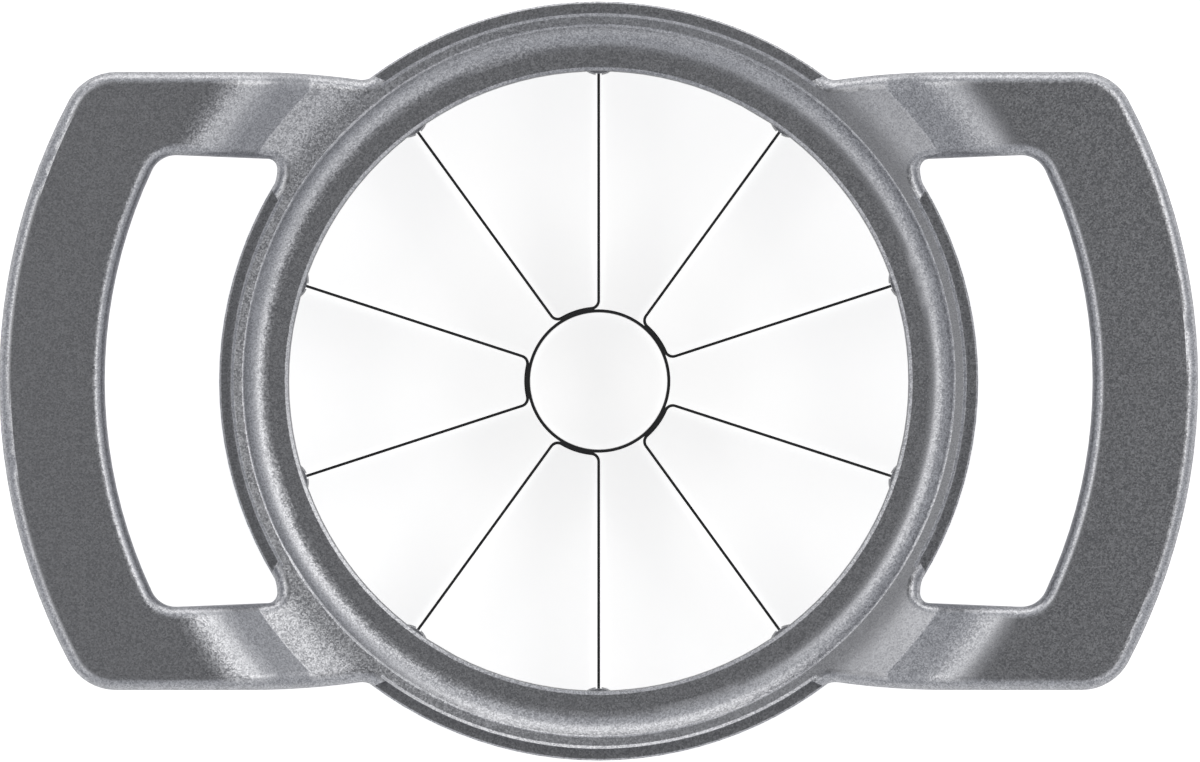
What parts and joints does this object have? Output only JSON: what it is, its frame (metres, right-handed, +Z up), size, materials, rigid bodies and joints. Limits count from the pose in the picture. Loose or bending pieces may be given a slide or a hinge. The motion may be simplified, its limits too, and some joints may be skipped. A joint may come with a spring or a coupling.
{
  "type": "apple slicer",
  "caption": "Two-handled apple divider: a dished silver-painted aluminium ring with bar handles, radial stainless blades and a corer ring",
  "frame": {"origin": "centre of the ring on the plane that the ring's foot stands on", "axes": "+X along both handles, +Z up along the ring's axis towards the dished top, +Y across the handles"},
  "size_m": [0.1804, 0.1146, 0.0383],
  "materials": {
    "silver_paint": "satin metallic flake",
    "ring_paint": "satin metallic flake",
    "blade_steel": "rolled stainless, ground edge",
    "screw_steel": "bright zinc"
  },
  "bodies": {
    "root": {"handle_frame": "silver_paint", "retaining_ring": "ring_paint", "corer_ring": "blade_steel", "blade_pair_1": "blade_steel", "blade_pair_2": "blade_steel", "blade_pair_3": "blade_steel", "blade_pair_4": "blade_steel", "blade_pair_5": "blade_steel", "clamp_screws": "screw_steel"}
  },
  "joints": []
}
